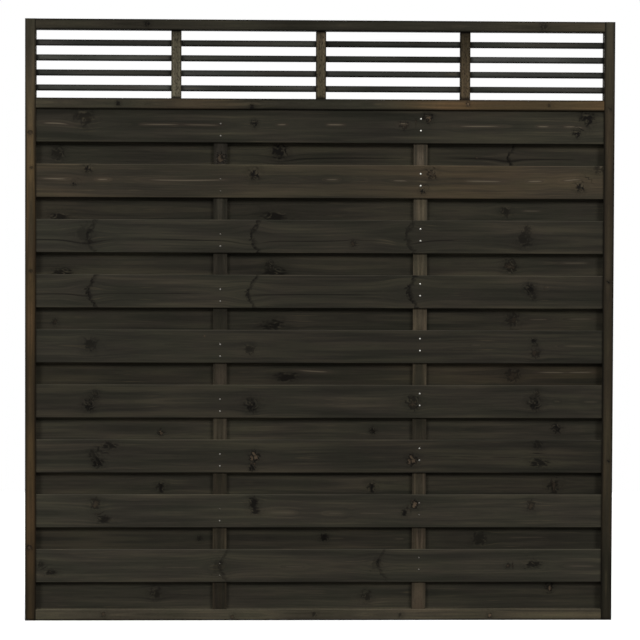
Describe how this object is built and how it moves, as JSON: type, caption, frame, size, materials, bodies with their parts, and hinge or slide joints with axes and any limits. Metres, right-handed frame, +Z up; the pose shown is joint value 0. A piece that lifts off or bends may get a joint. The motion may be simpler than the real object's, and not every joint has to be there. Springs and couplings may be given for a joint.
{
  "type": "privacy fence panel",
  "caption": "Framed timber fence panel with overlapping boards on both faces and an open slatted trellis band at the top, made to stand between fence posts.",
  "frame": {"origin": "middle of the panel's bottom edge, half way through its depth", "axes": "+X along the panel to the right as seen from the front, +Y through the panel to the back, +Z up"},
  "size_m": [1.765, 0.045, 1.8],
  "materials": {
    "frame_wood": "black-brown stained planed softwood, matt",
    "post_wood": "black-brown stained rough softwood, matt",
    "slat_wood": "black-brown stained planed softwood, matt",
    "batten_wood": "black-brown stained sawn softwood, matt",
    "board_wood": "black-brown stained planed softwood, matt",
    "nail_steel": "plain bright steel"
  },
  "bodies": {
    "root": {"left_stile": "frame_wood", "right_stile": "frame_wood", "top_rail": "frame_wood", "middle_rail": "frame_wood", "bottom_rail": "frame_wood", "trellis_post_left": "post_wood", "trellis_post_middle": "post_wood", "trellis_post_right": "post_wood", "trellis_slat_bay1_row1": "slat_wood", "trellis_slat_bay1_row2": "slat_wood", "trellis_slat_bay1_row3": "slat_wood", "trellis_slat_bay1_row4": "slat_wood", "trellis_slat_bay2_row1": "slat_wood", "trellis_slat_bay2_row2": "slat_wood", "trellis_slat_bay2_row3": "slat_wood", "trellis_slat_bay2_row4": "slat_wood", "trellis_slat_bay3_row1": "slat_wood", "trellis_slat_bay3_row2": "slat_wood", "trellis_slat_bay3_row3": "slat_wood", "trellis_slat_bay3_row4": "slat_wood", "trellis_slat_bay4_row1": "slat_wood", "trellis_slat_bay4_row2": "slat_wood", "trellis_slat_bay4_row3": "slat_wood", "trellis_slat_bay4_row4": "slat_wood", "left_batten": "batten_wood", "right_batten": "batten_wood", "front_board_1": "board_wood", "back_board_1": "board_wood", "front_board_2": "board_wood", "back_board_2": "board_wood", "front_board_3": "board_wood", "back_board_3": "board_wood", "front_board_4": "board_wood", "back_board_4": "board_wood", "front_board_5": "board_wood", "back_board_5": "board_wood", "front_board_6": "board_wood", "back_board_6": "board_wood", "front_board_7": "board_wood", "back_board_7": "board_wood", "front_board_8": "board_wood", "back_board_8": "board_wood", "front_board_9": "board_wood", "back_board_9": "board_wood", "front_nails": "nail_steel", "back_nails": "nail_steel", "frame_nails": "nail_steel"}
  },
  "joints": []
}
